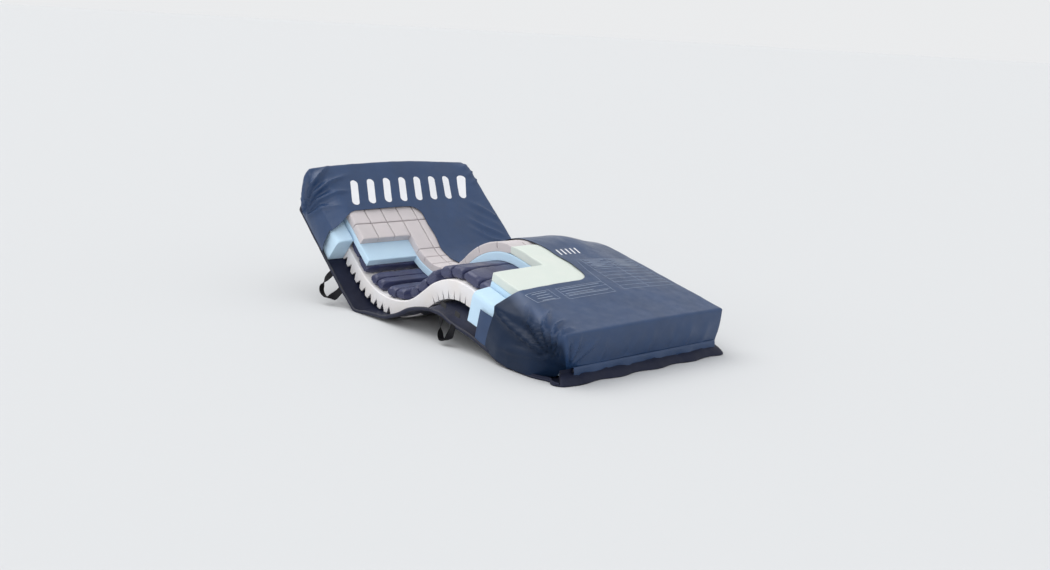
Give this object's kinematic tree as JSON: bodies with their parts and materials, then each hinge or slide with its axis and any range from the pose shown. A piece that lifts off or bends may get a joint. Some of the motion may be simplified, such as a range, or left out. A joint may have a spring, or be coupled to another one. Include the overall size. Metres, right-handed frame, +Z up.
{
  "type": "pressure relief mattress",
  "caption": "Hybrid foam and air hospital mattress in a profiled position, its cover and upper layers cut back along one side to show the core",
  "frame": {"origin": "middle of the seat section's underside, on the surface the mattress rests on", "axes": "+X runs from the head to the foot, +Y away from the opened side, +Z up"},
  "size_m": [1.8462, 0.9797, 0.5835],
  "materials": {
    "cover_navy": "matt stretch PU-coated polyester with a fine knit",
    "base_cover_dark": "heavy coated nylon, low sheen",
    "foam_white": "firm open-cell foam",
    "air_cell_navy": "coated nylon, satin",
    "foam_blue": "open-cell foam",
    "foam_grey": "soft grid-cut foam",
    "foam_mint": "very soft smooth foam",
    "foam_bolster": "firm open-cell foam",
    "zip_tape": "folded coated fabric over a coil zip",
    "zip_slider": "satin enamel",
    "webbing_black": "woven webbing"
  },
  "bodies": {
    "back": {"base_cover_back": "base_cover_dark", "base_foam_back": "foam_white", "air_cells_back": "air_cell_navy", "support_foam_back": "foam_blue", "far_bolster_back": "foam_bolster", "top_cover_back": "cover_navy", "surface_foam_back": "foam_grey", "near_bolster_head": "foam_bolster", "head_end_block": "foam_bolster", "zip_band_head": "zip_tape", "handle_patches_back": "webbing_black"},
    "hip": {"base_cover_hip": "base_cover_dark", "base_foam_hip": "foam_white", "air_cells_hip": "air_cell_navy", "support_foam_hip": "foam_blue", "far_bolster_hip": "foam_bolster", "top_cover_hip": "cover_navy", "surface_foam_hip": "foam_grey"},
    "seat": {"base_cover_seat": "base_cover_dark", "base_foam_seat": "foam_white", "air_cells_seat": "air_cell_navy", "support_foam_seat": "foam_blue", "far_bolster_seat": "foam_bolster", "top_cover_seat": "cover_navy", "surface_foam_seat": "foam_grey"},
    "thigh": {"base_cover_thigh": "base_cover_dark", "base_foam_thigh": "foam_white", "air_cells_thigh": "air_cell_navy", "support_foam_thigh": "foam_blue", "far_bolster_thigh": "foam_bolster", "top_cover_thigh": "cover_navy", "surface_foam_thigh": "foam_grey"},
    "knee": {"base_cover_knee": "base_cover_dark", "base_foam_knee": "foam_white", "air_cells_knee": "air_cell_navy", "support_foam_knee": "foam_blue", "far_bolster_knee": "foam_bolster", "top_cover_knee": "cover_navy", "surface_foam_knee": "foam_grey"},
    "calf": {"base_cover_calf": "base_cover_dark", "base_foam_calf": "foam_white", "air_cells_calf": "air_cell_navy", "support_foam_calf": "foam_blue", "far_bolster_calf": "foam_bolster", "top_cover_calf": "cover_navy", "heel_foam": "foam_mint", "near_bolster_foot": "foam_bolster", "foot_end_block": "foam_bolster", "zip_band_foot": "zip_tape", "handle_patches_calf": "webbing_black", "corner_strap": "webbing_black"},
    "zip_slider": {"zip_slider": "zip_slider"},
    "handle_near_back": {"handle_near_back": "webbing_black"},
    "handle_far_back": {"handle_far_back": "webbing_black"},
    "handle_near_calf": {"handle_near_calf": "webbing_black"},
    "handle_far_calf": {"handle_far_calf": "webbing_black"}
  },
  "joints": [
    {"name": "hip_bend", "type": "hinge", "parent": "seat", "child": "hip", "pos_m": [-0.0935, 0, 0.06], "axis": [0, 1, 0], "range_deg": [-20.5, 12]},
    {"name": "back_bend", "type": "hinge", "parent": "hip", "child": "back", "pos_m": [-0.22463, 0, 0.10903], "axis": [0, 1, 0], "range_deg": [-20.5, 12]},
    {"name": "lap_bend", "type": "hinge", "parent": "seat", "child": "thigh", "pos_m": [0.0935, 0, 0.06], "axis": [0, -1, 0], "range_deg": [-31.5, 7]},
    {"name": "knee_bend", "type": "hinge", "parent": "thigh", "child": "knee", "pos_m": [0.30154, 0, 0.18749], "axis": [0, 1, 0], "range_deg": [-21.9, 4]},
    {"name": "calf_bend", "type": "hinge", "parent": "knee", "child": "calf", "pos_m": [0.43962, 0, 0.2106], "axis": [0, 1, 0], "range_deg": [-21.9, 4]},
    {"name": "handle_near_back_swing", "type": "hinge", "parent": "back", "child": "handle_near_back", "pos_m": [-0.306, -0.444, 0.10688], "axis": [-0.7547, 0, 0.6561], "range_deg": [-20, 80]},
    {"name": "handle_far_back_swing", "type": "hinge", "parent": "back", "child": "handle_far_back", "pos_m": [-0.306, 0.444, 0.10688], "axis": [0.7547, 0, -0.6561], "range_deg": [0, 100]},
    {"name": "handle_near_calf_swing", "type": "hinge", "parent": "calf", "child": "handle_near_calf", "pos_m": [0.49219, -0.444, 0.14264], "axis": [-0.9764, 0, 0.2159], "range_deg": [0, 100]},
    {"name": "handle_far_calf_swing", "type": "hinge", "parent": "calf", "child": "handle_far_calf", "pos_m": [0.49219, 0.444, 0.14264], "axis": [0.9764, 0, -0.2159], "range_deg": [0, 100]},
    {"name": "zip_slide", "type": "slide", "parent": "calf", "child": "zip_slider", "axis": [0, 1, 0], "range_m": [-0.165, 0.69]}
  ],
  "couplings": [
    {"joint": "back_bend", "follows": "hip_bend", "ratio": 1},
    {"joint": "calf_bend", "follows": "knee_bend", "ratio": 1}
  ]
}
